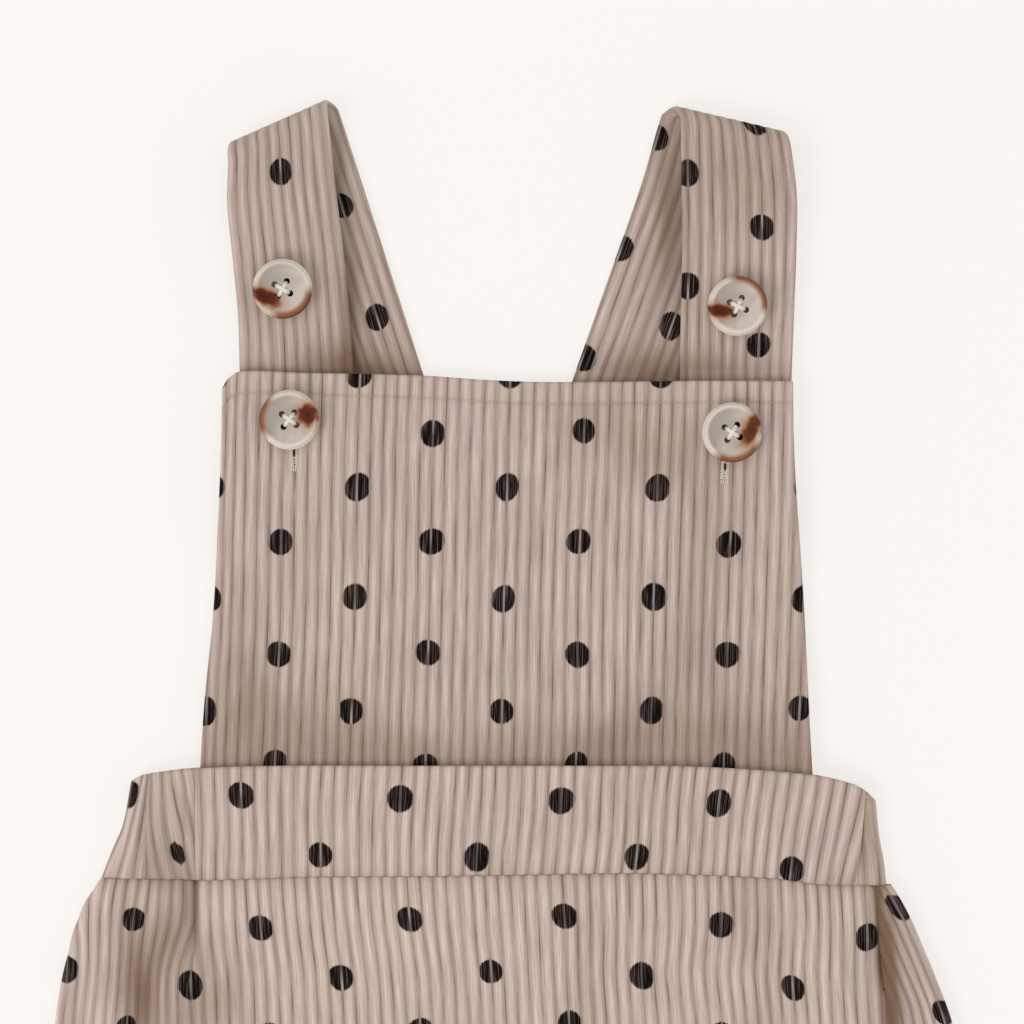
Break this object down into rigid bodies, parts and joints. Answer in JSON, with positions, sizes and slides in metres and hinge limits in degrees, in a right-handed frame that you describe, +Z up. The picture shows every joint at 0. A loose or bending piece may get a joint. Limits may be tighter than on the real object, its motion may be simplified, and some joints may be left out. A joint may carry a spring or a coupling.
{
  "type": "baby bib romper laid flat",
  "caption": "Baby's bib romper in wide-wale corduroy with a dot print, laid flat on its back, crossed shoulder straps folded over and buttoned to the bib.",
  "frame": {"origin": "on the surface the romper lies on, under the middle of its outline", "axes": "+Z up from the surface, out of the romper's front; +Y from the legs to the shoulder straps; +X to the right of someone who looks down on the front"},
  "size_m": [0.2758, 0.4235, 0.0122],
  "materials": {
    "corduroy": "wide-wale cotton corduroy in warm pinkish beige, printed with black dots",
    "button": "polished imitation horn, pale grey cream with an amber-brown patch",
    "thread": "polyester sewing thread, cream"
  },
  "bodies": {
    "root": {"back_panel": "corduroy", "back_waistband": "corduroy", "front_panel": "corduroy", "front_waistband": "corduroy", "bib": "corduroy", "strap_left": "corduroy", "strap_right": "corduroy", "button_left_upper": "button", "button_left_lower": "button", "button_right_upper": "button", "button_right_lower": "button", "thread_shank_left_upper": "thread", "thread_shank_left_lower": "thread", "thread_shank_right_upper": "thread", "thread_shank_right_lower": "thread"}
  },
  "joints": []
}
